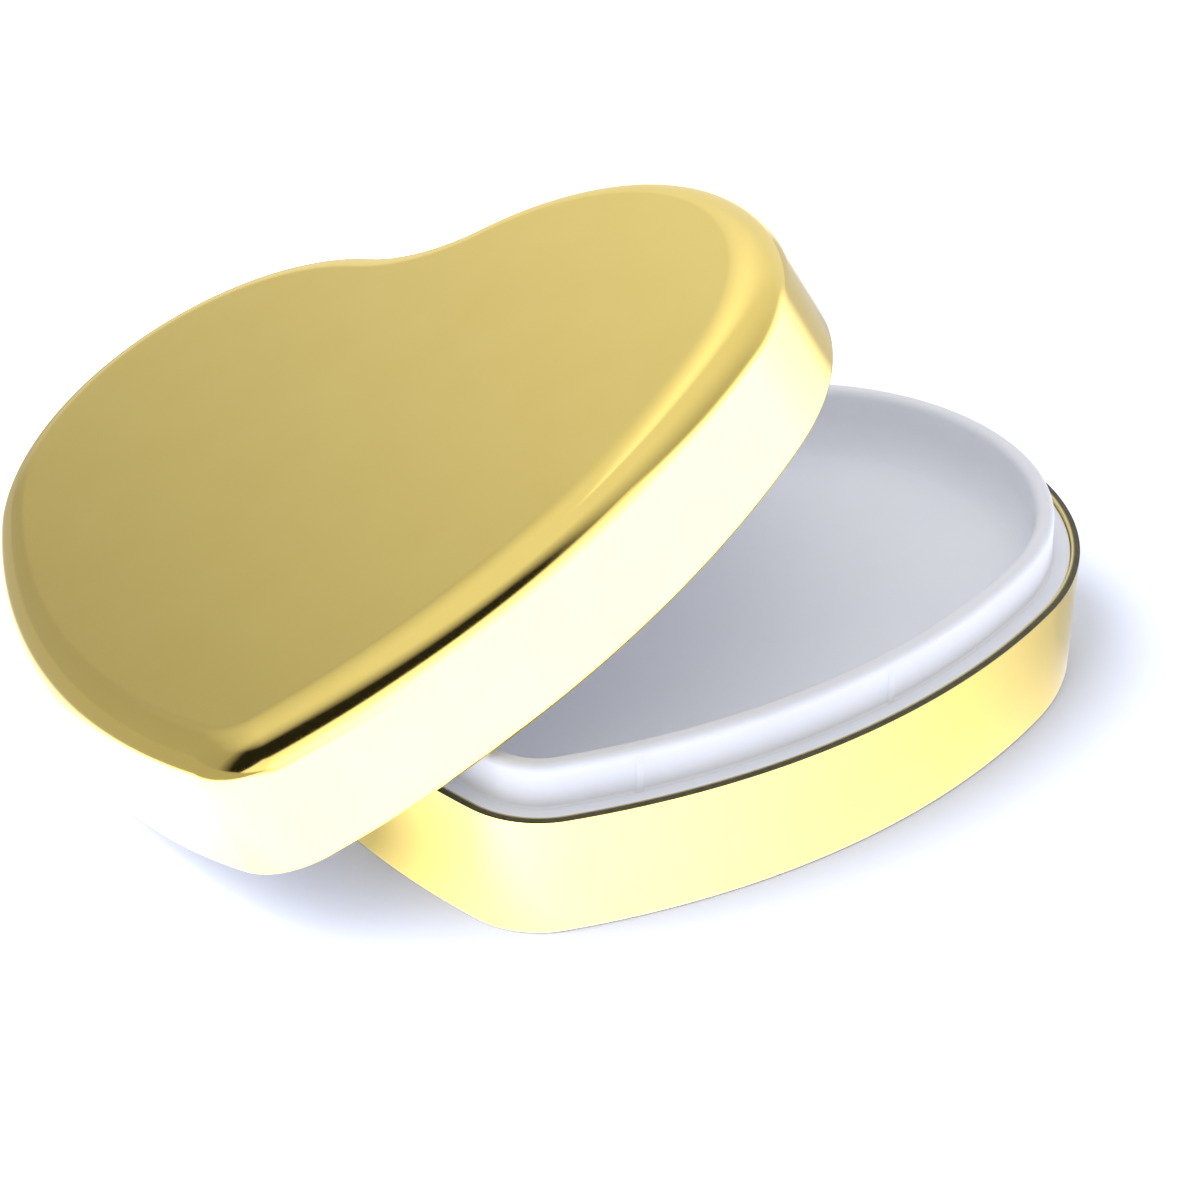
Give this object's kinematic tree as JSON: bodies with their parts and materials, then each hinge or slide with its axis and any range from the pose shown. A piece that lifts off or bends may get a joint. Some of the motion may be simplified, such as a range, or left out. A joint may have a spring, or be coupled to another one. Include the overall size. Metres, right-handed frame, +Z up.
{
  "type": "heart-shaped box",
  "caption": "Heart-shaped keepsake box: gold shell base with a white collared tray, and a lift-off gold lid that leans on it.",
  "frame": {"origin": "middle of the base's flat underside", "axes": "+Z up, +Y from the heart's tip to its notch, +X to the right-hand lobe"},
  "size_m": [0.0985, 0.0831, 0.0434],
  "materials": {
    "base_gold": "polished and gold anodised",
    "base_white": "moulded, satin",
    "lid_gold": "polished and gold anodised",
    "lid_white": "moulded, satin"
  },
  "bodies": {
    "base": {"base_shell": "base_gold", "base_liner": "base_white"},
    "lid": {"lid_shell": "lid_gold", "lid_liner": "lid_white"}
  },
  "joints": [
    {"name": "lid_lift", "type": "slide", "parent": "base", "child": "lid", "axis": [0, 0, 1], "range_m": [0, 0.04]}
  ]
}
